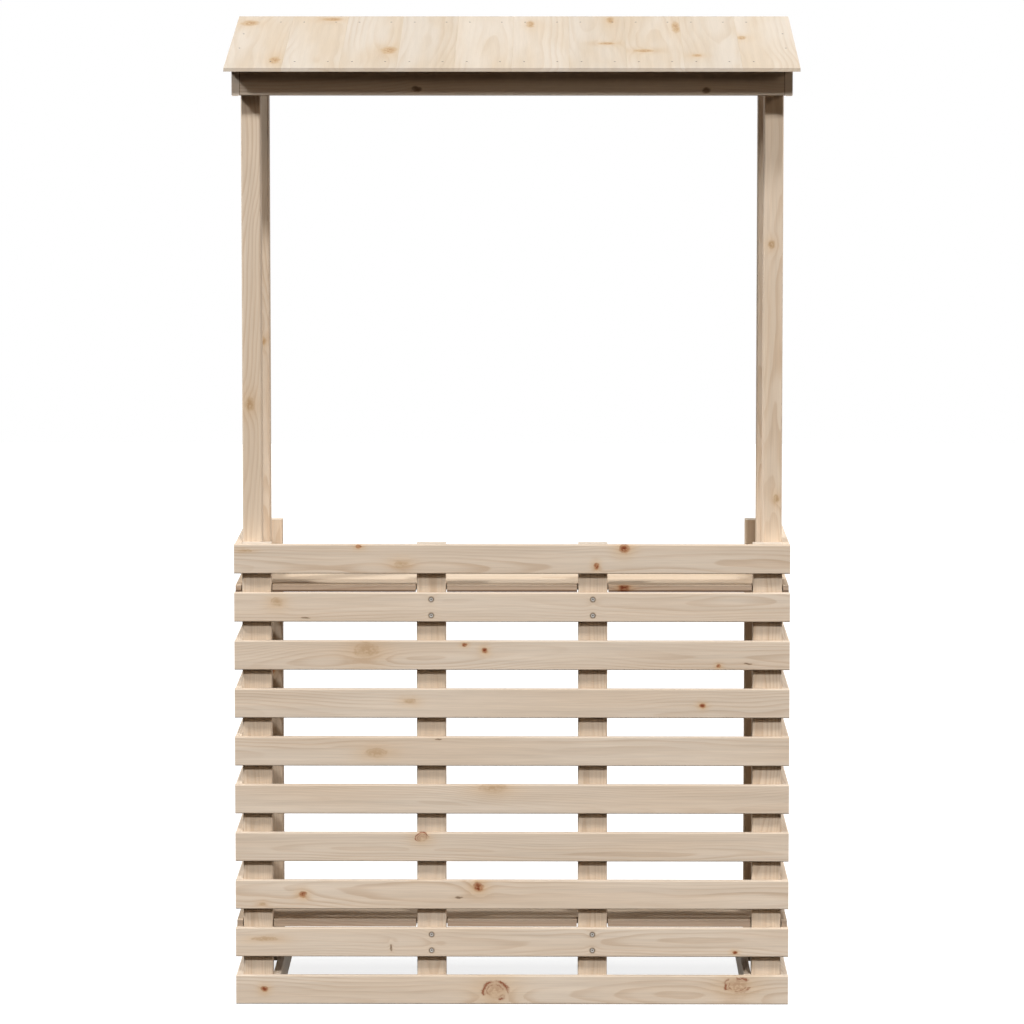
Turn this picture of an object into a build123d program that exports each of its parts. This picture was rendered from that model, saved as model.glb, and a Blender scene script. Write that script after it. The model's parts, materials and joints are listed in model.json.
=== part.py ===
from build123d import *
import math
import os

# A free-standing garden bar in planed pine. A slatted front and two slatted sides stand round two
# notched shelves, and four posts carry a roof of one pitch that rises towards the back.
# Millimetres. The origin is on the ground under the middle of the roof, +Z is up, the front faces -Y.

# Sawn stock
slat_width = 58
slat_thick = 15
slat_round = 2.5
timber_wide = 58
timber_thick = 38
timber_round = 3

# Slatted body
body_width = 1100
slat_gap = 38
slat_count = 10
middle_stud_offset = 160
rear_bay = 37

# Shelves, notched round the uprights
shelf_thick = 13
shelf_end_inset = 2
shelf_front_gap = 1
shelf_rear_inset = 15
notch_clearance = 2
notch_overrun = 20

# Roof
overall_height = 1955
roof_frame_depth = 450
roof_rise = 92
roof_board_thick = 7
roof_board_count = 10
roof_board_bevel = 0.4
roof_end_overhang = 60
roof_side_overhang = 12.5

# Levels, counted up from the ground
slat_pitch = slat_width + slat_gap
body_height = slat_count * slat_pitch - slat_gap
lower_shelf_level = 1
upper_shelf_level = slat_count - 2

# Places across the bar, on the right-hand side
body_side = body_width / 2
side_inner = body_side - slat_thick
stud_inner = side_inner - timber_wide
post_inner = side_inner - timber_thick
rail_inner = stud_inner - slat_thick

# Places from front to back
front_face = -roof_frame_depth / 2
slat_back = front_face + slat_thick
stud_back = slat_back + timber_thick
front_post_back = stud_back + timber_wide
rear_beam_back = roof_frame_depth / 2
rear_beam_front = rear_beam_back - slat_thick
rear_post_front = rear_beam_front - timber_wide
rear_stud_front = rear_beam_front + rear_bay
rear_face = rear_stud_front + timber_thick

# Roof plane
roof_depth = roof_frame_depth + 2 * roof_end_overhang
roof_half_depth = roof_depth / 2
roof_half_width = body_side + roof_side_overhang
roof_angle = math.atan2(roof_rise, roof_depth)
roof_board_width = 2 * roof_half_width / roof_board_count
roof_drop = roof_board_thick / math.cos(roof_angle)
side_board_drop = slat_width / math.cos(roof_angle)
pitch_line = Axis((0, 0, 0), (0, math.cos(roof_angle), math.sin(roof_angle)))
pitch_normal = Axis((0, 0, 0), (0, -math.sin(roof_angle), math.cos(roof_angle)))


def roof_top(y):
    """Height of the roof's upper face at a place from front to back."""
    return overall_height - (roof_half_depth - y) * math.tan(roof_angle)


def roof_under(y):
    """Height of the roof's lower face, where the frame below it seats."""
    return roof_top(y) - roof_drop


def block(low, high):
    """A plain block between two corners."""
    size = Vector(*high) - Vector(*low)
    return Pos(*low) * Box(size.X, size.Y, size.Z, align=(Align.MIN, Align.MIN, Align.MIN))


def plank(low, high, along, radius):
    """A planed length between two corners, with the four edges along it rounded."""
    solid = block(low, high)
    return fillet(solid.edges().filter_by(along), radius)


def profile(points, x_low, x_high):
    """A solid with one outline in Y and Z, carried across from x_low to x_high."""
    outline = Plane.YZ * make_face(Polyline(*points, close=True))
    return Pos(x_low, 0, 0) * extrude(outline, amount=x_high - x_low, dir=(1, 0, 0))


def on_left(solid):
    """The same piece on the other side of the bar."""
    return mirror(solid, about=Plane.YZ)


def both_sides(name, solid):
    """Two nodes, one for each side, from the right-hand piece."""
    return {f"{name}_right": solid, f"{name}_left": on_left(solid)}


def slat_bottom(level):
    """Height of the lower edge of a slat, with level 0 on the ground."""
    return level * slat_pitch


def slat_top(level):
    """Height of the upper edge of a slat."""
    return slat_bottom(level) + slat_width


def front_slats():
    """The slats of the front, one node each, numbered from the ground up."""
    slats = {}
    for level in range(slat_count):
        low = (-body_side, front_face, slat_bottom(level))
        high = (body_side, slat_back, slat_top(level))
        slats[f"front_slat_{level + 1:02d}"] = plank(low, high, Axis.X, slat_round)
    return slats


def side_slats():
    """The slats of one side, level with those of the front, which they butt against."""
    slats = []
    for level in range(slat_count):
        low = (side_inner, slat_back, slat_bottom(level))
        high = (body_side, rear_face, slat_top(level))
        slats.append(plank(low, high, Axis.Y, slat_round))
    return Compound(children=slats)


def upright(x_low, x_high, y_low, y_high):
    """A stud of the body, with its broad face across the bar."""
    return plank((x_low, y_low, 0), (x_high, y_high, body_height), Axis.Z, timber_round)


def body_studs():
    """Corner and middle studs behind the front slats, and the studs at the open back."""
    middle_low = middle_stud_offset - timber_wide / 2
    middle_high = middle_stud_offset + timber_wide / 2
    studs = both_sides("front_corner_stud", upright(stud_inner, side_inner, slat_back, stud_back))
    studs |= both_sides("front_middle_stud", upright(middle_low, middle_high, slat_back, stud_back))
    studs |= both_sides("rear_stud", upright(stud_inner, side_inner, rear_stud_front, rear_face))
    return studs


def roof_post(y_low, y_high):
    """A post from the ground to the roof, its head cut to the pitch."""
    head = [(y_high, roof_under(y_high)), (y_low, roof_under(y_low))]
    solid = profile([(y_low, 0), (y_high, 0)] + head, post_inner, side_inner)
    return fillet(solid.edges().filter_by(Axis.Z), timber_round)


def roof_posts():
    """Front posts stand behind the corner studs, rear posts against the rear beam."""
    posts = both_sides("front_post", roof_post(stud_back, front_post_back))
    posts |= both_sides("rear_post", roof_post(rear_post_front, rear_beam_front))
    return posts


def ground_rails():
    """Rails on edge along the ground, fixed to the inner faces of the corner and rear studs."""
    low = (rail_inner, slat_back, 0)
    high = (stud_inner, rear_face, slat_width)
    return both_sides("ground_rail", plank(low, high, Axis.Y, slat_round))


def stud_notch(x_low, x_high, shelf_bottom, shelf_top):
    """What a front stud takes out of a shelf, open to the front."""
    low = (x_low - notch_clearance, slat_back, shelf_bottom - notch_overrun)
    high = (x_high + notch_clearance, stud_back + notch_clearance, shelf_top + notch_overrun)
    return block(low, high)


def end_notches(shelf_bottom, shelf_top):
    """What the posts and studs of one end take out of a shelf."""
    z_low = shelf_bottom - notch_overrun
    z_high = shelf_top + notch_overrun
    post_edge = post_inner - notch_clearance
    front_post_low = (post_edge, slat_back, z_low)
    front_post_high = (side_inner + notch_clearance, front_post_back + notch_clearance, z_high)
    rear_post_low = (post_edge, rear_post_front - notch_clearance, z_low)
    rear_post_high = (body_side, rear_beam_front + notch_clearance, z_high)
    rear_stud_low = (stud_inner - notch_clearance, rear_stud_front - notch_clearance, z_low)
    rear_stud_high = (body_side, rear_face, z_high)
    return [
        stud_notch(stud_inner, side_inner, shelf_bottom, shelf_top),
        block(front_post_low, front_post_high),
        block(rear_post_low, rear_post_high),
        block(rear_stud_low, rear_stud_high),
    ]


def shelf(level):
    """A one-piece shelf that lies on the side slats of its level, notched round every upright."""
    bottom = slat_top(level)
    top = bottom + shelf_thick
    end = body_side - shelf_end_inset
    board = block((-end, slat_back + shelf_front_gap, bottom), (end, rear_face - shelf_rear_inset, top))
    middle_low = middle_stud_offset - timber_wide / 2
    middle_high = middle_stud_offset + timber_wide / 2
    for notch in end_notches(bottom, top) + [stud_notch(middle_low, middle_high, bottom, top)]:
        board = board - notch - on_left(notch)
    return board


def roof_beam(y_low, y_high):
    """A beam across the bar between the side boards, its upper edge bevelled to the pitch."""
    bottom = roof_under(y_low) - slat_width
    foot = [(y_low, bottom), (y_high, bottom)]
    head = [(y_high, roof_under(y_high)), (y_low, roof_under(y_low))]
    solid = profile(foot + head, -side_inner, side_inner)
    return fillet(solid.edges().filter_by(Axis.X), slat_round)


def roof_side_board():
    """A board along the pitch that closes the roof frame at one side, with plumb ends."""
    foot = [(front_face, roof_under(front_face) - side_board_drop)]
    foot.append((rear_beam_back, roof_under(rear_beam_back) - side_board_drop))
    head = [(rear_beam_back, roof_under(rear_beam_back)), (front_face, roof_under(front_face))]
    solid = profile(foot + head, side_inner, body_side)
    return fillet(solid.edges().filter_by(pitch_line), slat_round)


def roof_boards():
    """Thin boards along the pitch, edge to edge, past the frame on all four sides."""
    upper = [(-roof_half_depth, roof_top(-roof_half_depth)), (roof_half_depth, overall_height)]
    lower = [(roof_half_depth, roof_under(roof_half_depth)), (-roof_half_depth, roof_under(-roof_half_depth))]
    boards = {}
    for place in range(roof_board_count):
        x_low = place * roof_board_width - roof_half_width
        board = profile(upper + lower, x_low, x_low + roof_board_width)
        upper_edges = board.faces().sort_by(pitch_normal).last.edges().filter_by(pitch_line)
        boards[f"roof_board_{place + 1:02d}"] = chamfer(upper_edges, roof_board_bevel)
    return boards


def roof():
    """The roof frame and its boards."""
    pieces = both_sides("roof_side_board", roof_side_board())
    pieces["roof_front_beam"] = roof_beam(front_face, slat_back)
    pieces["roof_rear_beam"] = roof_beam(rear_beam_front, rear_beam_back)
    return pieces | roof_boards()


def garden_bar():
    """Every node of the bar by name."""
    pieces = front_slats()
    pieces |= both_sides("side_slats", side_slats())
    pieces |= body_studs()
    pieces |= roof_posts()
    pieces |= ground_rails()
    pieces["counter_shelf"] = shelf(upper_shelf_level)
    pieces["lower_shelf"] = shelf(lower_shelf_level)
    pieces |= roof()
    return pieces


os.makedirs("parts", exist_ok=True)
for node, solid in garden_bar().items():
    export_step(solid, f"parts/{node}.step")
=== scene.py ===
"""Looks of the garden bar: planed untreated pine, steel screws and nails, a white studio. Metres."""

import json
import math
import random

import bmesh
import bpy
from mathutils import Matrix, Vector


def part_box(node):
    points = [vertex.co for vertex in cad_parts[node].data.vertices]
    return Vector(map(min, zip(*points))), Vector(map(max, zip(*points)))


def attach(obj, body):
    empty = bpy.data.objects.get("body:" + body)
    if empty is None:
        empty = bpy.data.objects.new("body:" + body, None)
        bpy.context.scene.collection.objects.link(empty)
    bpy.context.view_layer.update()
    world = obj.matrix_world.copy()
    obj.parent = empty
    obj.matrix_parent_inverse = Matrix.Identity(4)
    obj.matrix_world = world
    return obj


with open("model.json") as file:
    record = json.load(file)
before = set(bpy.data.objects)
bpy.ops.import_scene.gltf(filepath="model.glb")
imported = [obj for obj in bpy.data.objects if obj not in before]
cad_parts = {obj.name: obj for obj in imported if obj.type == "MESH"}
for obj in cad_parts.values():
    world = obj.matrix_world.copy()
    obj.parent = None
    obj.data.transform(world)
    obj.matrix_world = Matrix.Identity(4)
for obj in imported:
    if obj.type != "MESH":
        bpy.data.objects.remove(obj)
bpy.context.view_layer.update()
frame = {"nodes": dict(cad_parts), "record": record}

BODY = "root"
SIDES = ("left", "right")
MM = 0.001
WHITE = (1, 1, 1, 1)

# Camera: long lens, a little above the bar and a little right of its middle
CAMERA_PLACE = (0.075, -11.118, 2.122)
CAMERA_AIM = (0.0, -0.225, 0.987)
CAMERA_LENS = 194.9
CAMERA_SENSOR = 36.0
CAMERA_REACH = 200.0

# Suns: degrees right of the front, degrees above the floor, strength, softness in degrees, colour
SUNS = {
    "key": (12, 37, 2.2, 7, (1.0, 1.0, 1.0)),
    "left": (-61, 42, 2.05, 7, (1.0, 1.0, 1.0)),
    "fill": (42, 15, 0.40, 12, (1.0, 0.80, 0.62)),
    "back_left": (-152, 4, 0.85, 12, (1.0, 1.0, 1.0)),
    "back_right": (152, 4, 0.85, 12, (1.0, 1.0, 1.0)),
    "high": (176, 67, 0.54, 12, (1.0, 1.0, 1.0)),
}

# Broad lamps at both sides, aimed at the counter: place on the right, target, side and power
SIDE_LAMP_PLACE = (2.4, 0.26, 2.3)
SIDE_LAMP_AIM = (0.0, 0.0, 0.7)
SIDE_LAMP_SIDE = 0.9
SIDE_LAMP_POWER = 23.0

# Faint warm light from all round, and a floor that shows white but throws little light back
AMBIENT = 0.02
AMBIENT_COLOUR = (1.0, 0.70, 0.50, 1)
FLOOR_SIDE = 24.0
FLOOR_WHITE = (0.38, 0.38, 0.38, 1)
FLOOR_BOUNCE = (0.020, 0.015, 0.012, 1)
FLOOR_GLOW = 0.83

# Wood of each material slot: pale wood between the rings, warmer patches and the ring lines, and how
# strongly the rings, the end grain, the fibres and the worn edges, partly a painted highlight, show
WOODS = {
    "pine_slat": {
        "pale": (0.718, 0.614, 0.503),
        "warm": (0.69, 0.567, 0.445),
        "late": (0.50, 0.345, 0.22),
        "ring_spacing": 0.0042,
        "ring_share": 0.37,
        "end_share": 0.50,
        "fibre_share": 1.0,
        "wear_and_highlight_share": 0.45,
    },
    "pine_timber": {
        "pale": (0.625, 0.522, 0.415),
        "warm": (0.60, 0.487, 0.372),
        "late": (0.45, 0.31, 0.195),
        "ring_spacing": 0.0030,
        "ring_share": 0.45,
        "end_share": 0.55,
        "fibre_share": 1.0,
        "wear_and_highlight_share": 0.45,
    },
    "pine_shelf": {
        "pale": (0.645, 0.533, 0.413),
        "warm": (0.63, 0.503, 0.373),
        "late": (0.40, 0.245, 0.14),
        "ring_spacing": 0.0060,
        "ring_share": 0.45,
        "end_share": 0.50,
        "fibre_share": 1.0,
        "wear_and_highlight_share": 0.45,
    },
    "pine_roof": {
        "pale": (0.662, 0.589, 0.502),
        "warm": (0.626, 0.526, 0.411),
        "late": (0.53, 0.405, 0.28),
        "ring_spacing": 0.0105,
        "ring_share": 0.32,
        "end_share": 0.0,
        "fibre_share": 0.5,
        "wear_and_highlight_share": 0.12,
    },
}

# Drawn for each piece: its tone, its place in the noise, and its pith's place beside and behind it
TONE_SPREAD = (0.96, 1.03)
SHIFT_SPREAD = (3, 40)
PITH_ACROSS_SPREAD = (-0.03, 0.03)
PITH_DEPTH_SPREAD = (0.020, 0.060)

# A shelf is glued up from staves of this width, and each stave or side slat has its own place in the noise
STAVE_WIDTH = 0.082
BOARD_STEP = 3.7

# Pieces that are paler or darker than their kind; the lower shelf's darker tone is painted shade, as it
# stands in shade under the counter
TONES_AND_SHADE = {"front_post_left": 1.11, "front_post_right": 1.13, "lower_shelf": 0.88}

# Pieces with bolder rings than their kind
BOLD = {"front_slat_10": 1.7, "front_slat_03": 1.35, "front_slat_01": 1.3, "front_slat_08": 1.2}

# Noise drawn out along the grain: waves a metre along it and across it, place in the noise, detail
FIGURES = {
    "ring_wobble": (5, 28, 0.0, 2.0),
    "ring_patch": (1.5, 16, 2.0, 2.0),
    "warm_patch": (2.2, 14, 7.0, 2.0),
    "streak": (1.8, 95, 1.0, 3.0),
    "fibre": (14, 620, 3.0, 3.0),
    "wear_and_highlight_patch": (18, 60, 6.0, 2.0),
    "knot_along": (55, 70, 9.0, 2.0),
    "knot_across": (55, 70, 15.0, 2.0),
    "knot_rough": (260, 300, 11.0, 2.0),
    "knot_blotch": (150, 210, 13.0, 2.0),
    "knot_speckle": (45, 55, 4.0, 2.0),
}

# Wandering of the pith along a piece: waves a metre, place in the noise, reach
PITH_DRIFT_ACROSS = (1.1, 0.0, 0.050)
PITH_DRIFT_THROUGH = (0.9, 5.0, 0.035)

# Rings: wobble, where in a ring its dark line comes and goes, and the patches where lines and warmth show
RING_WOBBLE = 0.0035
RING_RISE = (0.35, 0.88)
RING_FALL = (0.90, 1.0)
RING_PATCH = (0.30, 0.70)
WARM_PATCH = (0.30, 0.70)
STREAK_DEPTH = 0.30
FIBRE_DEPTH = 0.26

# Knots: along and across the grain from the middle of the piece, half length, half width, kind
KNOTS = {
    "front_slat_10": [(-303, 24, 6, 4, "red"), (-218, -10, 14, 7, "pale"), (222, 21, 11, 9, "red"),
                      (166, -14, 5, 6, "red"), (-530, 16, 14, 3, "pale")],
    "front_slat_09": [(-409, -22, 10, 2, "dash"), (-466, 10, 12, 9, "pale")],
    "front_slat_08": [(-288, 10, 24, 17, "pale"), (-54, 10, 6, 6, "red"), (-94, 21, 5, 3, "red"),
                      (409, -22, 5, 4, "red"), (468, -15, 9, 1.5, "dash")],
    "front_slat_07": [(-203, 4, 12, 6, "pale"), (377, -4, 6, 5, "red")],
    "front_slat_06": [(-269, -3, 22, 9, "pale"), (-147, 25, 7, 2, "dash")],
    "front_slat_05": [(-37, 22, 28, 10, "pale")],
    "front_slat_04": [(-179, 19, 13, 10, "ring")],
    "front_slat_03": [(-416, 0, 8, 6, "red"), (-67, 15, 11, 10, "red"), (-106, -5, 8, 2.5, "dash"),
                      (-497, -18, 7, 4, "pale")],
    "front_slat_02": [(-240, -11, 2.5, 6, "dash"), (443, -20, 5, 3, "red"), (-492, 6, 26, 5, "pale")],
    "front_slat_01": [(-493, 1, 7, 6, "red"), (-34, -2, 26, 20, "ring"), (449, 9, 27, 17, "ring")],
    "side_slats_left": [(-20, 441, 6, 4, "red"), (-120, 345, 8, 6, "red"), (70, 236, 16, 8, "pale"),
                        (150, 152, 7, 6, "red"), (-60, -52, 18, 9, "pale"), (110, -136, 9, 7, "red"),
                        (-150, -328, 7, 5, "red"), (40, -436, 15, 11, "ring")],
    "side_slats_right": [(90, 428, 9, 7, "red"), (-140, 244, 8, 6, "red"), (20, 138, 20, 9, "pale"),
                         (170, 56, 6, 5, "red"), (-80, -140, 12, 9, "ring"), (130, -246, 8, 6, "red"),
                         (-30, -344, 16, 8, "pale")],
    "rear_stud_left": [(150, 6, 9, 7, "red"), (-210, -9, 14, 8, "pale")],
    "rear_stud_right": [(-60, -4, 10, 8, "red"), (290, 9, 12, 7, "pale")],
    "roof_rear_beam": [(-310, 8, 9, 7, "red"), (96, -6, 20, 9, "pale"), (402, 12, 7, 5, "red")],
    "rear_post_left": [(330, 6, 10, 7, "amber"), (-420, -5, 9, 7, "red")],
    "counter_shelf": [(222, -239, 11, 9, "red"), (-430, -190, 60, 12, "dash")],
    "roof_front_beam": [(-187, -17, 10, 6, "dash"), (381, -20, 9, 6, "dash")],
    "front_post_left": [(254, -5, 15, 10, "amber")],
    "front_post_right": [(571, -4, 9, 7, "amber"), (67, 8, 9, 6, "amber")],
    "rear_post_right": [(100, 0, 9, 7, "amber")],
    "roof_board_01": [(209, -30, 34, 18, "amber"), (-205, 39, 40, 11, "amber")],
    "roof_board_02": [(254, 23, 22, 23, "amber")],
    "roof_board_03": [(-96, 36, 42, 16, "amber")],
    "roof_board_06": [(197, -22, 40, 9, "amber")],
    "roof_board_07": [(243, 28, 40, 8, "amber"), (-21, 18, 14, 18, "amber")],
    "roof_board_08": [(162, 47, 70, 9, "amber"), (-101, -21, 16, 20, "amber")],
    "roof_board_09": [(-153, -30, 14, 10, "amber")],
    "roof_board_10": [(42, -48, 22, 10, "amber")],
}

# Looks of a knot: core, heart, and how strongly the core, the heart, the rim and the halo show
KNOT_LOOKS = {
    "red": ((0.22, 0.055, 0.025), (0.47, 0.235, 0.115), 0.95, 0.85, 0.35, 0.75),
    "pale": ((0.44, 0.28, 0.155), (0.57, 0.42, 0.275), 0.45, 0.50, 0.35, 0.50),
    "ring": ((0.27, 0.085, 0.04), (0.60, 0.43, 0.28), 0.30, 0.55, 0.95, 0.55),
    "amber": ((0.40, 0.235, 0.115), (0.53, 0.375, 0.22), 0.70, 0.60, 0.15, 0.40),
    "dash": ((0.22, 0.15, 0.10), (0.27, 0.19, 0.125), 0.80, 0.80, 0.30, 0.15),
    # Not a knot: the painted shadow of the countersink round each screw head
    "countersink_shadow": ((0.13, 0.09, 0.06), (0.17, 0.12, 0.08), 0.95, 0.95, 0.00, 0.10),
}

# Form of a knot, in half sizes from its heart: how far the halo and the bent rings reach, where the heart
# and the core fade, and the place and width of its two rims
KNOT_HALO = (0.93, 0.76, 0.54)
KNOT_HALO_REACH = 2.0
KNOT_SWELL_REACH = 2.2
KNOT_SWELL_SHARE = 0.45
KNOT_HEART_FADE = (0.60, 1.25)
KNOT_CORE_FADE = (0.25, 1.00)
KNOT_RIM = (0.92, 0.12)
KNOT_INNER_RIM = (0.62, 0.05)
KNOT_INNER_SHARE = 0.6

# Unevenness of a knot: bent outline in metres, rough outline, blotches in the core, breaks in the rims, and
# how far both lean to one side
KNOT_WARP = 0.0045
KNOT_ROUGH = 0.14
KNOT_BLOTCH = (0.36, 0.56)
KNOT_BREAK = (0.44, 0.58)
KNOT_LEAN = 0.12

# Wear and a painted highlight along the long edges, end grain, sawn faces, and painted shadows at the beams'
# ends and under the counter's front
# Paler long edges, partly rubbed wear and partly a painted highlight: width, patches and colour
WEAR_AND_HIGHLIGHT_WIDTH = 0.0035
WEAR_AND_HIGHLIGHT_PATCH = (0.25, 0.60)
WEAR_AND_HIGHLIGHT_COLOUR = (0.78, 0.67, 0.54)
FACING = (0.6, 0.9)
END_COLOUR = (0.76, 0.69, 0.60)
SAWN_SHADE = (0.67, 0.64, 0.64, 1)
# Painted shadow in the seam where each beam's end meets a side board: its width and shade
BEAM_END_SHADOW_WIDTH = 0.0022
BEAM_END_SHADOW = (0.30, 0.25, 0.21, 1)
# Painted shadow along the foot of the counter's front edge, where the shelf meets the slat below: its height
# and shade
COUNTER_SHADOW_HEIGHT = 0.0055
COUNTER_SHADOW = (0.36, 0.32, 0.30, 1)

# Surface of the wood: gloss, roughness with what fibres and wear add to it, and relief
WOOD_SPECULAR = 0.03
WOOD_ROUGHNESS = 0.66
FIBRE_ROUGHNESS = 0.22
WEAR_ROUGHNESS = 0.1
RELIEF_STRENGTH = 0.25
RELIEF_DEPTH = 0.0006
RING_RELIEF_SHARE = -0.5

# Screws in the front, at the middle studs
SCREWED_SLATS = ("front_slat_02", "front_slat_09")
SCREW_OFFSET = 0.016
SCREW_RADIUS = 0.0036
# Radius of the painted countersink shadow on the wood round each screw head
COUNTERSINK_SHADOW_RADIUS = 0.0062
SCREW_STEPS = 48
SCREW_SUNK = 0.0020
SCREW_PROUD = 0.0006
SCREW_RECESS = 0.0014
SCREW_ARM = 0.0023
SCREW_ARM_HALF = 0.0006

# Profile of a screw head: its shoulder, rim, dish and cross recess, as shares of its radius, height or arm
SCREW_SHOULDER_SHARE = 0.5
SCREW_RIM_SHARE = 0.93
SCREW_DISH_SHARE = 0.84
SCREW_DISH_HEIGHT_SHARE = 0.7
SCREW_CROSS_HEIGHT_SHARE = 0.6
SCREW_CROSS_FOOT_SHARE = 0.72

# Nails in the roof boards: none over a beam further out than the end, two at each side board
ROOF_BOARDS = 10
NAIL_OFFSET = 0.0325
NAIL_END = 0.500
NAIL_RADIUS = 0.0019
NAIL_STEPS = 16
NAIL_SUNK = 0.0020
NAIL_PROUD = 0.0003
NAIL_DOME_SHARES = ((1.0, 0.5), (0.75, 1.0), (0.3, 1.1))
SIDE_NAIL_SHARES = (0.34, 0.69)

# Steel: colour and least roughness of each kind, size and strength of its cloudiness
SCREW_STEEL = ((0.36, 0.35, 0.33), 0.42)
NAIL_STEEL = ((0.06, 0.06, 0.07), 0.50)
STEEL_CLOUD_SCALE = 900.0
STEEL_CLOUD_DETAIL = 3.0
STEEL_DARK_SHARE = 0.75
STEEL_PALE_SHARE = 1.2
STEEL_ROUGHNESS = 0.25


class Graph:
    """Shorthand for making and joining the nodes of one material."""

    def __init__(self, tree):
        self.tree = tree

    def node(self, kind, inputs=None, **settings):
        made = self.tree.nodes.new(kind)
        for name, value in settings.items():
            setattr(made, name, value)
        for place, value in (inputs or {}).items():
            self.feed(made.inputs[place], value)
        return made

    def feed(self, socket, value):
        if isinstance(value, bpy.types.NodeSocket):
            self.tree.links.new(value, socket)
        else:
            socket.default_value = value

    def math(self, operation, *values, clamp=False):
        made = self.node("ShaderNodeMath", dict(enumerate(values)), operation=operation, use_clamp=clamp)
        return made.outputs[0]

    def join(self, x, y, z):
        return self.node("ShaderNodeCombineXYZ", {0: x, 1: y, 2: z}).outputs[0]

    def noise(self, place, detail=2.0, scale=1.0):
        inputs = {"Vector": place, "Scale": scale, "Detail": detail}
        return self.node("ShaderNodeTexNoise", inputs).outputs["Fac"]

    def about_zero(self, noise, span):
        """Noise from 0 to 1 as a swing about zero, span from end to end."""
        return self.math("MULTIPLY", self.math("SUBTRACT", noise, 0.5), span)

    def length(self, x, y):
        """Distance from the origin of a plane."""
        square = self.math("ADD", self.math("MULTIPLY", x, x), self.math("MULTIPLY", y, y))
        return self.math("SQRT", square)

    def rise(self, value, low, high):
        """0 below low, 1 above high, and a smooth step between them."""
        inputs = {"Value": value, "From Min": low, "From Max": high}
        return self.node("ShaderNodeMapRange", inputs, interpolation_type="SMOOTHSTEP").outputs[0]

    def fall(self, value, low, high):
        """1 below low, 0 above high, and a smooth step between them."""
        return self.math("SUBTRACT", 1.0, self.rise(value, low, high))

    def bell(self, distance, width):
        """1 at no distance, fading smoothly over the given width."""
        share = self.math("DIVIDE", distance, width)
        return self.math("EXPONENT", self.math("MULTIPLY", self.math("MULTIPLY", share, share), -1.0))

    def mix(self, share, first, second, blend="MIX"):
        made = self.node("ShaderNodeMix", data_type="RGBA", blend_type=blend)
        self.feed(made.inputs[0], share)
        self.feed(made.inputs[6], first)
        self.feed(made.inputs[7], second)
        return made.outputs[2]


def rgba(colour, tone=1.0):
    return tuple(channel * tone for channel in colour) + (1,)


def new_material(name):
    """An empty material, its graph and its shader."""
    material = bpy.data.materials.new(name)
    material.use_nodes = True
    graph = Graph(material.node_tree)
    return material, graph, material.node_tree.nodes["Principled BSDF"]


def add_object(name, data):
    """A new object in the scene."""
    made = bpy.data.objects.new(name, data)
    bpy.context.collection.objects.link(made)
    return made


def top_height(node, y):
    """Highest point of a node at its front or back end."""
    return max(v.co.z for v in frame["nodes"][node].data.vertices if abs(v.co.y - y) < MM)


roof_low, roof_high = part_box("roof_board_01")
ROOF_RISE = top_height("roof_board_01", roof_high.y) - top_height("roof_board_01", roof_low.y)
ROOF_PITCH = math.atan2(ROOF_RISE, roof_high.y - roof_low.y)
PITCHED = ("roof_board", "roof_side_board")

slat_low, slat_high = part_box("front_slat_01")
SLAT_WIDTH = slat_high.z - slat_low.z
SLAT_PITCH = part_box("front_slat_02")[0].z - slat_low.z


def grain_box(name):
    """Middle and sizes of a piece, measured along its own grain."""
    low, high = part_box(name)
    middle = (low + high) / 2
    if name.startswith("side_slats"):
        return middle, Vector((high.x - low.x, high.y - low.y, SLAT_WIDTH))
    if not name.startswith(PITCHED):
        return middle, high - low
    turn = Matrix.Rotation(-ROOF_PITCH, 3, "X")
    places = [turn @ (vertex.co - middle) for vertex in frame["nodes"][name].data.vertices]
    spans = [[place[axis] for place in places] for axis in range(3)]
    return middle, Vector([max(span) - min(span) for span in spans])


def grain_order(name, sizes):
    """Axes along the grain, across it and through the thickness."""
    if name.startswith("side_slats"):
        return [1, 2, 0]
    if sizes.z > max(sizes.x, sizes.y):
        return [2, 0, 1]
    return sorted(range(3), key=lambda axis: -sizes[axis])


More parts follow.
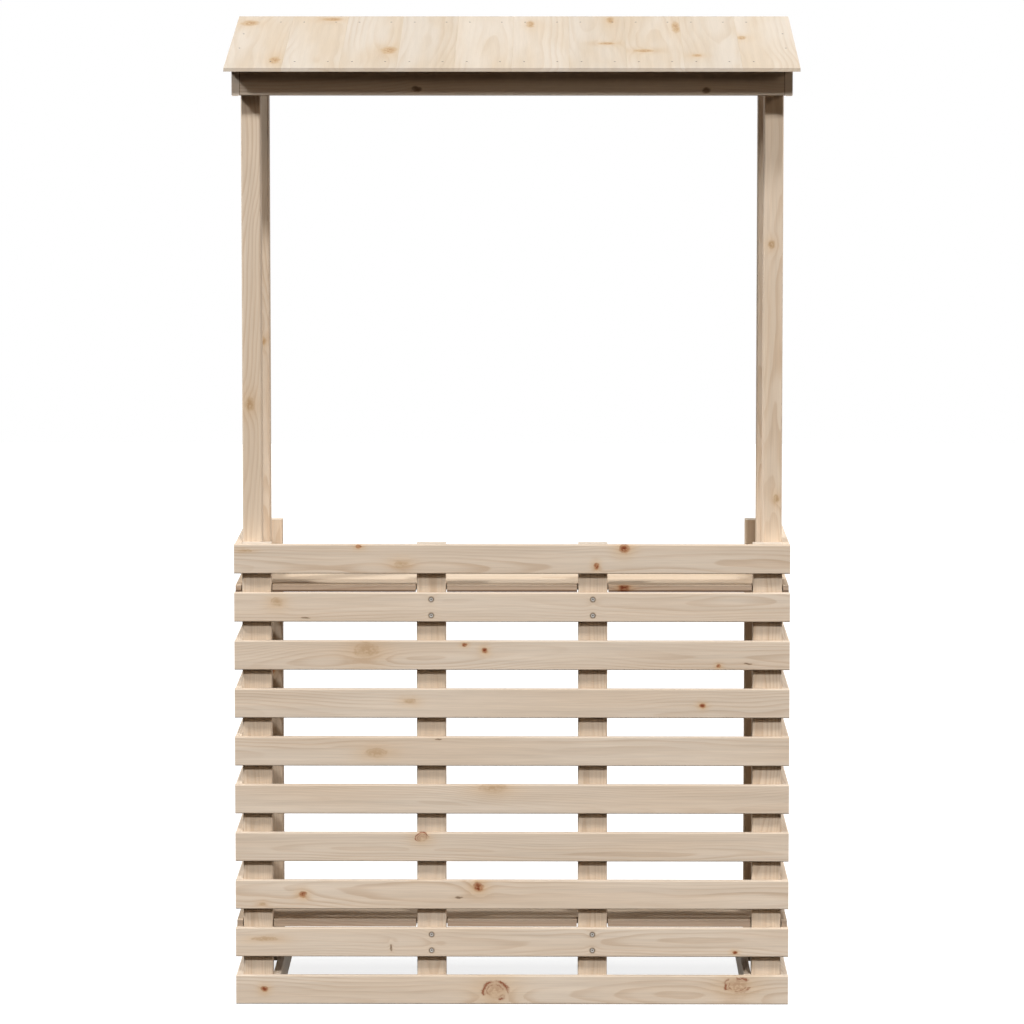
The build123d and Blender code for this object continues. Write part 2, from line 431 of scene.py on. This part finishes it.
class Grain:
    """Places in the wood of one piece, from its middle: along the grain, across it and through it."""

    def __init__(self, graph, name, shift):
        middle, sizes = grain_box(name)
        self.graph = graph
        self.shift = shift
        self.order = grain_order(name, sizes)
        self.halves = [sizes[axis] / 2 for axis in self.order]
        place = graph.node("ShaderNodeTexCoord").outputs["Object"]
        if name.startswith(PITCHED):
            inputs = {"Vector": place, "Center": middle, "Angle": -ROOF_PITCH}
            place = graph.node("ShaderNodeVectorRotate", inputs, rotation_type="X_AXIS").outputs[0]
        parts = graph.node("ShaderNodeSeparateXYZ", {0: place}).outputs
        places = [graph.math("SUBTRACT", parts[axis], middle[axis]) for axis in self.order]
        self.along, self.across, self.through = places
        self.board, number = self.boards(name, parts[2])
        self.run = graph.math("ADD", self.along, graph.math("MULTIPLY_ADD", number, BOARD_STEP, shift))

    def boards(self, name, height):
        """Place across one side slat or stave, and its number, or across the piece where it is one board."""
        if name.startswith("side_slats"):
            return self.repeat(self.graph.math("SUBTRACT", height, SLAT_WIDTH / 2), SLAT_PITCH)
        if name.endswith("shelf"):
            return self.repeat(self.across, STAVE_WIDTH)
        return self.across, 0.0

    def repeat(self, place, pitch):
        """Place from the nearest of many middles a pitch apart, and the number of that middle."""
        inside = self.graph.math("WRAP", place, pitch / 2, -pitch / 2)
        return inside, self.graph.math("ROUND", self.graph.math("DIVIDE", place, pitch))

    def noise(self, figure):
        """Noise of a figure, from 0 to 1, drawn out along the grain."""
        slow, fast, offset, detail = FIGURES[figure]
        moved = self.graph.math("ADD", self.graph.math("MULTIPLY", self.run, slow), offset)
        beside = self.graph.math("MULTIPLY", self.board, fast)
        behind = self.graph.math("MULTIPLY", self.through, fast)
        return self.graph.noise(self.graph.join(moved, beside, behind), detail)

    def swing(self, figure, reach):
        """Noise of a figure about zero, as far as reach each way or nearly so."""
        return self.graph.about_zero(self.noise(figure), 2 * reach)

    def drift(self, waves, offset, reach):
        """Slow wandering along the piece alone."""
        place = self.graph.join(self.graph.math("MULTIPLY", self.run, waves), self.shift, offset)
        return self.graph.about_zero(self.graph.noise(place), 2 * reach)


def screw_spots():
    """Places of the screws in a slat: across the bar, and up from the middle of the slat."""
    spots = []
    for side in SIDES:
        low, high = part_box(f"front_middle_stud_{side}")
        for offset in (-SCREW_OFFSET, SCREW_OFFSET):
            spots.append(((low.x + high.x) / 2, offset))
    return spots


def marks_on(name):
    """Knots of a piece, and the painted countersink shadow round its screws."""
    marks = list(KNOTS.get(name, []))
    if name in SCREWED_SLATS:
        # The dark ring round each screw is painted shadow of its countersink
        countersink_shadow = COUNTERSINK_SHADOW_RADIUS / MM
        marks += [(x / MM, offset / MM, countersink_shadow, countersink_shadow, "countersink_shadow") for x, offset in screw_spots()]
    return marks


def mark_shape(graph, along, across, mark):
    """Distance from the heart of a mark, 1 at its rim, and the side of the heart, from -1 to 1."""
    place_along, place_across, half_length, half_width, _ = mark
    reach = graph.math("DIVIDE", graph.math("SUBTRACT", along, place_along * MM), half_length * MM)
    side = graph.math("DIVIDE", graph.math("SUBTRACT", across, place_across * MM), half_width * MM)
    return graph.length(reach, side), side


def mark_shapes(grain, name):
    """Distance, side, half width and kind of each mark: knots are uneven, the painted countersink shadows
    are round.
    """
    graph = grain.graph
    bent_along = graph.math("ADD", grain.along, grain.swing("knot_along", KNOT_WARP))
    bent_across = graph.math("ADD", grain.across, grain.swing("knot_across", KNOT_WARP))
    rough = grain.swing("knot_rough", KNOT_ROUGH)
    shapes = []
    for mark in marks_on(name):
        half_width, kind = mark[3:]
        if kind == "countersink_shadow":
            distance, side = mark_shape(graph, grain.along, grain.across, mark)
        else:
            distance, side = mark_shape(graph, bent_along, bent_across, mark)
            distance = graph.math("ADD", distance, rough)
        shapes.append((distance, side, half_width, kind))
    return shapes


def ring_radius(grain, pith_across, pith_through, shapes):
    """Distance from a pith that wanders along the piece, which swells round each mark."""
    graph = grain.graph
    side = graph.math("SUBTRACT", grain.board, pith_across)
    side = graph.math("ADD", side, grain.drift(*PITH_DRIFT_ACROSS))
    deep = graph.math("SUBTRACT", grain.through, pith_through)
    deep = graph.math("ADD", deep, grain.drift(*PITH_DRIFT_THROUGH))
    radius = graph.math("ADD", graph.length(side, deep), grain.swing("ring_wobble", RING_WOBBLE))
    for distance, _, half_width, _ in shapes:
        swell = KNOT_SWELL_SHARE * half_width * MM
        bulge = graph.math("MULTIPLY", graph.bell(distance, KNOT_SWELL_REACH), swell)
        radius = graph.math("ADD", radius, bulge)
    return radius


def ring_lines(grain, radius, spacing):
    """The dark line that ends each ring, bolder in some patches."""
    graph = grain.graph
    ring = graph.math("FRACT", graph.math("DIVIDE", radius, spacing))
    line = graph.math("MULTIPLY", graph.rise(ring, *RING_RISE), graph.fall(ring, *RING_FALL))
    return graph.math("MULTIPLY", graph.rise(grain.noise("ring_patch"), *RING_PATCH), line)


def clear_wood(grain, wood, tone, lines, fibre):
    """Colour of the wood without marks: pale and warm patches, ring lines, streaks and fibres."""
    graph = grain.graph
    patch = graph.rise(grain.noise("warm_patch"), *WARM_PATCH)
    colour = graph.mix(patch, rgba(wood["pale"], tone), rgba(wood["warm"], tone))
    colour = graph.mix(lines, colour, rgba(wood["late"], tone))
    streaks = graph.about_zero(grain.noise("streak"), STREAK_DEPTH * wood["fibre_share"])
    fibres = graph.about_zero(fibre, FIBRE_DEPTH * wood["fibre_share"])
    shade = graph.math("ADD", graph.math("ADD", streaks, fibres), 1.0)
    return graph.mix(1.0, colour, graph.join(shade, shade, shade), "MULTIPLY")


def worn_and_highlit_edges(grain, slot):
    """Where the long edges are paler, in patches: rubbed wear with a painted highlight. A shelf has them on
    its outline and not at each stave.
    """
    graph = grain.graph
    across = grain.across if slot == "pine_shelf" else grain.board
    from_side = graph.math("SUBTRACT", grain.halves[1], graph.math("ABSOLUTE", across))
    from_face = graph.math("SUBTRACT", grain.halves[2], graph.math("ABSOLUTE", grain.through))
    worn = graph.fall(graph.math("ADD", from_side, from_face), 0.0, WEAR_AND_HIGHLIGHT_WIDTH)
    return graph.math("MULTIPLY", worn, graph.rise(grain.noise("wear_and_highlight_patch"), *WEAR_AND_HIGHLIGHT_PATCH))


def knot_lines(graph, distance):
    """The rim of a knot and a fainter line inside it."""
    rim_place, rim_width = KNOT_RIM
    inner_place, inner_width = KNOT_INNER_RIM
    rim = graph.bell(graph.math("SUBTRACT", distance, rim_place), rim_width)
    inner = graph.bell(graph.math("SUBTRACT", distance, inner_place), inner_width)
    return graph.math("MAXIMUM", rim, graph.math("MULTIPLY", inner, KNOT_INNER_SHARE))


def paint_mark(graph, colour, distance, side, kind, blotch, speckle):
    """A warm halo, a soft heart, a blotchy core, and a rim that breaks off on one side."""
    core, heart, core_share, heart_share, rim_share, halo_share = KNOT_LOOKS[kind]
    halo = graph.math("MULTIPLY", graph.bell(distance, KNOT_HALO_REACH), halo_share)
    colour = graph.mix(halo, colour, rgba(KNOT_HALO), "MULTIPLY")
    inside = graph.fall(distance, *KNOT_HEART_FADE)
    colour = graph.mix(graph.math("MULTIPLY", inside, heart_share), colour, rgba(heart))
    blotches = graph.rise(graph.math("MULTIPLY_ADD", side, KNOT_LEAN, blotch), *KNOT_BLOTCH)
    dark = graph.math("MULTIPLY", graph.fall(distance, *KNOT_CORE_FADE), blotches)
    colour = graph.mix(graph.math("MULTIPLY", dark, core_share), colour, rgba(core))
    breaks = graph.rise(graph.math("MULTIPLY_ADD", side, KNOT_LEAN, speckle), *KNOT_BREAK)
    arc = graph.math("MULTIPLY", knot_lines(graph, distance), breaks)
    return graph.mix(graph.math("MULTIPLY", arc, rim_share), colour, rgba(core))


def paint_marks(grain, colour, shapes):
    """All marks of a piece over its wood."""
    blotch = grain.noise("knot_blotch")
    speckle = grain.noise("knot_speckle")
    for distance, side, _, kind in shapes:
        colour = paint_mark(grain.graph, colour, distance, side, kind, blotch, speckle)
    return colour


def paint_faces(grain, colour, name, slot):
    """End grain, sawn edges of a shelf, and painted shadow lines under the counter's front and at the beams'
    ends.
    """
    graph = grain.graph
    normal = graph.node("ShaderNodeNewGeometry").outputs["Normal"]
    facing = graph.node("ShaderNodeSeparateXYZ", {0: normal}).outputs
    along, across, _ = (facing[axis] for axis in grain.order)
    end = graph.rise(graph.math("ABSOLUTE", along), *FACING)
    colour = graph.mix(graph.math("MULTIPLY", end, WOODS[slot]["end_share"]), colour, rgba(END_COLOUR))
    if slot == "pine_shelf":
        sawn = graph.rise(graph.math("ABSOLUTE", across), *FACING)
        colour = graph.mix(sawn, colour, SAWN_SHADE, "MULTIPLY")
    # A painted shadow along the lower edge of the counter's front face
    if name == "counter_shelf":
        front = graph.rise(graph.math("MULTIPLY", across, -1.0), *FACING)
        height = graph.math("ADD", grain.through, grain.halves[2])
        low = graph.fall(height, COUNTER_SHADOW_HEIGHT / 2, COUNTER_SHADOW_HEIGHT)
        colour = graph.mix(graph.math("MULTIPLY", front, low), colour, COUNTER_SHADOW, "MULTIPLY")
    # A painted shadow at each end of a beam, in the seam by the side board
    if name.endswith("beam"):
        half = grain.halves[0]
        end_shadow = graph.rise(graph.math("ABSOLUTE", grain.along), half - BEAM_END_SHADOW_WIDTH, half)
        colour = graph.mix(end_shadow, colour, BEAM_END_SHADOW, "MULTIPLY")
    return colour


def feed_wood(graph, shader, colour, lines, fibre, wear_and_highlight):
    """Colour, roughness and relief of the wood."""
    graph.feed(shader.inputs["Base Color"], colour)
    rough = graph.math("MULTIPLY_ADD", fibre, FIBRE_ROUGHNESS, WOOD_ROUGHNESS)
    rough = graph.math("ADD", rough, graph.math("MULTIPLY", wear_and_highlight, WEAR_ROUGHNESS))
    graph.feed(shader.inputs["Roughness"], rough)
    height = graph.math("ADD", fibre, graph.math("MULTIPLY", lines, RING_RELIEF_SHARE))
    inputs = {"Height": height, "Strength": RELIEF_STRENGTH, "Distance": RELIEF_DEPTH}
    graph.feed(shader.inputs["Normal"], graph.node("ShaderNodeBump", inputs).outputs[0])
    shader.inputs["Specular IOR Level"].default_value = WOOD_SPECULAR


def pine(name, slot):
    """Pine cut from a log: rings about a pith, fibres, worn edges with a painted highlight, knots, painted
    countersink and joint shadows, and sawn ends.
    """
    wood = WOODS[slot]
    draw = random.Random(name)
    # The lower shelf's darker tone here is painted shade
    tone = draw.uniform(*TONE_SPREAD) * TONES_AND_SHADE.get(name, 1.0)
    shift = draw.uniform(*SHIFT_SPREAD)
    pith_across = draw.uniform(*PITH_ACROSS_SPREAD)
    pith_through = draw.choice((-1, 1)) * draw.uniform(*PITH_DEPTH_SPREAD)
    material, graph, shader = new_material(f"{slot}_{name}")
    grain = Grain(graph, name, shift)
    shapes = mark_shapes(grain, name)
    radius = ring_radius(grain, pith_across, pith_through, shapes)
    lines = ring_lines(grain, radius, wood["ring_spacing"])
    shown_lines = graph.math("MULTIPLY", lines, wood["ring_share"] * BOLD.get(name, 1.0))
    fibre = grain.noise("fibre")
    colour = clear_wood(grain, wood, tone, shown_lines, fibre)
    wear_and_highlight = worn_and_highlit_edges(grain, slot)
    # Paler long edges: rubbed wear, partly a painted highlight
    colour = graph.mix(graph.math("MULTIPLY", wear_and_highlight, wood["wear_and_highlight_share"]), colour, rgba(WEAR_AND_HIGHLIGHT_COLOUR, tone))
    colour = paint_marks(grain, colour, shapes)
    colour = paint_faces(grain, colour, name, slot)
    feed_wood(graph, shader, colour, lines, fibre, wear_and_highlight)
    return material


def dress_nodes():
    """Every node of the frame gets its own pine."""
    for part in frame["record"]["subparts"]:
        name = part["node"]
        mesh = frame["nodes"][name].data
        mesh.materials.clear()
        mesh.materials.append(pine(name, part["material_slot"]))


def shell(mesh, rings):
    """Joins rings of points by quads, and closes the last ring."""
    loops = [[mesh.verts.new(point) for point in ring] for ring in rings]
    for outer, inner in zip(loops, loops[1:]):
        for step in range(len(outer)):
            follow = (step + 1) % len(outer)
            mesh.faces.new((outer[step], outer[follow], inner[follow], inner[step]))
    mesh.faces.new(loops[-1])


def seat(place, out, spin):
    """Local Z along out, turned by spin about it."""
    turn = Vector(out).to_track_quat("Z", "Y").to_matrix().to_4x4()
    return Matrix.Translation(place) @ turn @ Matrix.Rotation(spin, 4, "Z")


def turn_angles(steps):
    """Angles of one turn in equal steps."""
    return [2 * math.pi * step / steps for step in range(steps)]


def ring_at(lay, reaches, height):
    """A ring of points round the local Z, each at its own distance from it."""
    points = []
    for angle, reach in zip(turn_angles(len(reaches)), reaches):
        points.append(lay @ Vector((reach * math.cos(angle), reach * math.sin(angle), height)))
    return points


def cross_reach(angle):
    """Distance from the middle of a cross recess to its wall."""
    cosine = max(abs(math.cos(angle)), MM)
    sine = max(abs(math.sin(angle)), MM)
    level = min(SCREW_ARM / cosine, SCREW_ARM_HALF / sine)
    upright = min(SCREW_ARM_HALF / cosine, SCREW_ARM / sine)
    return max(level, upright)


def screw_head(mesh, place, out, spin):
    """A flat head with a raised rim and a cross recess."""
    lay = seat(place, out, spin)
    outline = [SCREW_RADIUS] * SCREW_STEPS
    rim = [SCREW_RADIUS * SCREW_RIM_SHARE] * SCREW_STEPS
    dish = [SCREW_RADIUS * SCREW_DISH_SHARE] * SCREW_STEPS
    cross = [cross_reach(angle) for angle in turn_angles(SCREW_STEPS)]
    cross_foot = [SCREW_CROSS_FOOT_SHARE * reach for reach in cross]
    rings = [
        ring_at(lay, outline, -SCREW_SUNK),
        ring_at(lay, outline, SCREW_PROUD * SCREW_SHOULDER_SHARE),
        ring_at(lay, rim, SCREW_PROUD),
        ring_at(lay, dish, SCREW_PROUD * SCREW_DISH_HEIGHT_SHARE),
        ring_at(lay, cross, SCREW_PROUD * SCREW_CROSS_HEIGHT_SHARE),
        ring_at(lay, cross_foot, -SCREW_RECESS),
    ]
    shell(mesh, rings)


def nail_head(mesh, place, out, spin):
    """A small round head driven nearly flush."""
    lay = seat(place, out, spin)
    rings = [ring_at(lay, [NAIL_RADIUS] * NAIL_STEPS, -NAIL_SUNK)]
    for radius_share, height_share in NAIL_DOME_SHARES:
        rings.append(ring_at(lay, [NAIL_RADIUS * radius_share] * NAIL_STEPS, NAIL_PROUD * height_share))
    shell(mesh, rings)


def steel(name, colour, rough):
    """Plated steel with a fine brushed cloudiness."""
    material, graph, shader = new_material(name)
    place = graph.node("ShaderNodeTexCoord").outputs["Object"]
    cloud = graph.noise(place, STEEL_CLOUD_DETAIL, STEEL_CLOUD_SCALE)
    tint = graph.mix(cloud, rgba(colour, STEEL_DARK_SHARE), rgba(colour, STEEL_PALE_SHARE))
    graph.feed(shader.inputs["Base Color"], tint)
    graph.feed(shader.inputs["Roughness"], graph.math("MULTIPLY_ADD", cloud, STEEL_ROUGHNESS, rough))
    shader.inputs["Metallic"].default_value = 1.0
    return material


def add_fasteners(name, heads, build, material):
    """One piece with all the heads of a kind."""
    mesh = bmesh.new()
    draw = random.Random(name)
    for place, out in heads:
        build(mesh, place, out, draw.uniform(0, math.pi))
    data = bpy.data.meshes.new(name)
    mesh.to_mesh(data)
    mesh.free()
    data.materials.append(material)
    piece = add_object(name, data)
    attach(piece, BODY)


def slat_screws():
    """Two screws a joint, where the second slat from each end crosses the middle studs."""
    heads = []
    for slat in SCREWED_SLATS:
        low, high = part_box(slat)
        for x, offset in screw_spots():
            heads.append((Vector((x, low.y, (low.z + high.z) / 2 + offset)), (0, -1, 0)))
    return heads


def on_roof(x, y):
    """A place on the roof's upper face, and the way out of it."""
    height = top_height("roof_board_01", roof_low.y) + (y - roof_low.y) * math.tan(ROOF_PITCH)
    return Vector((x, y, height)), (0, -math.sin(ROOF_PITCH), math.cos(ROOF_PITCH))


def roof_nails():
    """Two nails a board over each beam, apart from the ends, and two at each end over the side boards."""
    heads = []
    for beam in ("roof_front_beam", "roof_rear_beam"):
        beam_low, beam_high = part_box(beam)
        y = (beam_low.y + beam_high.y) / 2
        for number in range(1, ROOF_BOARDS + 1):
            low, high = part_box(f"roof_board_{number:02d}")
            for offset in (-NAIL_OFFSET, NAIL_OFFSET):
                x = (low.x + high.x) / 2 + offset
                if abs(x) < NAIL_END:
                    heads.append(on_roof(x, y))
    for side in SIDES:
        low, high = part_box(f"roof_side_board_{side}")
        for share in SIDE_NAIL_SHARES:
            heads.append(on_roof((low.x + high.x) / 2, low.y + share * (high.y - low.y)))
    return heads


def turn_to(thing, direction, axis):
    """Turns a camera or lamp so that its own axis lies along a direction."""
    thing.rotation_mode = "QUATERNION"
    thing.rotation_quaternion = direction.to_track_quat(axis, "Y")


def make_camera():
    """The photograph's place and lens."""
    data = bpy.data.cameras.new("camera")
    data.lens = CAMERA_LENS
    data.sensor_width = CAMERA_SENSOR
    data.clip_end = CAMERA_REACH
    camera = add_object("camera", data)
    camera.location = CAMERA_PLACE
    turn_to(camera, Vector(CAMERA_AIM) - Vector(CAMERA_PLACE), "-Z")
    bpy.context.scene.camera = camera


def make_suns():
    """Soft suns round the bar."""
    for name, (azimuth, elevation, strength, softness, colour) in SUNS.items():
        turn = math.radians(azimuth)
        lift = math.radians(elevation)
        level = math.cos(lift)
        data = bpy.data.lights.new(f"sun_{name}", "SUN")
        data.energy = strength
        data.angle = math.radians(softness)
        data.color = colour
        lamp = add_object(f"sun_{name}", data)
        turn_to(lamp, Vector((math.sin(turn) * level, -math.cos(turn) * level, math.sin(lift))), "Z")


def make_side_lamps():
    """A broad lamp at each side, which reaches the counter under the roof."""
    for name, mirror in zip(SIDES, (-1, 1)):
        data = bpy.data.lights.new(f"lamp_{name}", "AREA")
        data.energy = SIDE_LAMP_POWER
        data.size = SIDE_LAMP_SIDE
        lamp = add_object(f"lamp_{name}", data)
        lamp.location = Vector(SIDE_LAMP_PLACE) * Vector((mirror, 1, 1))
        turn_to(lamp, Vector(SIDE_LAMP_AIM) - lamp.location, "-Z")
        lamp.visible_camera = False


def seen_share(graph):
    """1 where a ray shows the background: straight, in a gloss or through glass."""
    rays = graph.node("ShaderNodeLightPath").outputs
    share = graph.math("ADD", rays["Is Camera Ray"], rays["Is Glossy Ray"])
    return graph.math("ADD", share, rays["Is Transmission Ray"], clamp=True)


def make_world():
    """White to look at, and a faint even light on the bar."""
    world = bpy.data.worlds.new("studio")
    world.use_nodes = True
    bpy.context.scene.world = world
    graph = Graph(world.node_tree)
    sky = world.node_tree.nodes["Background"]
    seen = seen_share(graph)
    graph.feed(sky.inputs["Color"], graph.mix(seen, AMBIENT_COLOUR, WHITE))
    graph.feed(sky.inputs["Strength"], graph.math("MULTIPLY_ADD", seen, 1 - AMBIENT, AMBIENT))


def floor_paper():
    """Paper that glows white to look at and takes the shadows."""
    material, graph, shader = new_material("floor_paper")
    seen = seen_share(graph)
    graph.feed(shader.inputs["Base Color"], graph.mix(seen, FLOOR_BOUNCE, FLOOR_WHITE))
    shader.inputs["Emission Color"].default_value = WHITE
    graph.feed(shader.inputs["Emission Strength"], graph.math("MULTIPLY", seen, FLOOR_GLOW))
    shader.inputs["Roughness"].default_value = 1.0
    shader.inputs["Specular IOR Level"].default_value = 0.0
    return material


def make_floor():
    """A plain pale floor under the bar."""
    mesh = bpy.data.meshes.new("floor")
    half = FLOOR_SIDE / 2
    corners = [(-half, -half, 0), (half, -half, 0), (half, half, 0), (-half, half, 0)]
    mesh.from_pydata(corners, [], [(0, 1, 2, 3)])
    mesh.materials.append(floor_paper())
    floor = add_object("floor", mesh)


dress_nodes()
add_fasteners("slat_screws", slat_screws(), screw_head, steel("screw_steel", *SCREW_STEEL))
add_fasteners("roof_nails", roof_nails(), nail_head, steel("nail_steel", *NAIL_STEEL))
make_camera()
make_suns()
make_side_lamps()
make_world()
make_floor()

bpy.context.scene.view_settings.view_transform = "Standard"
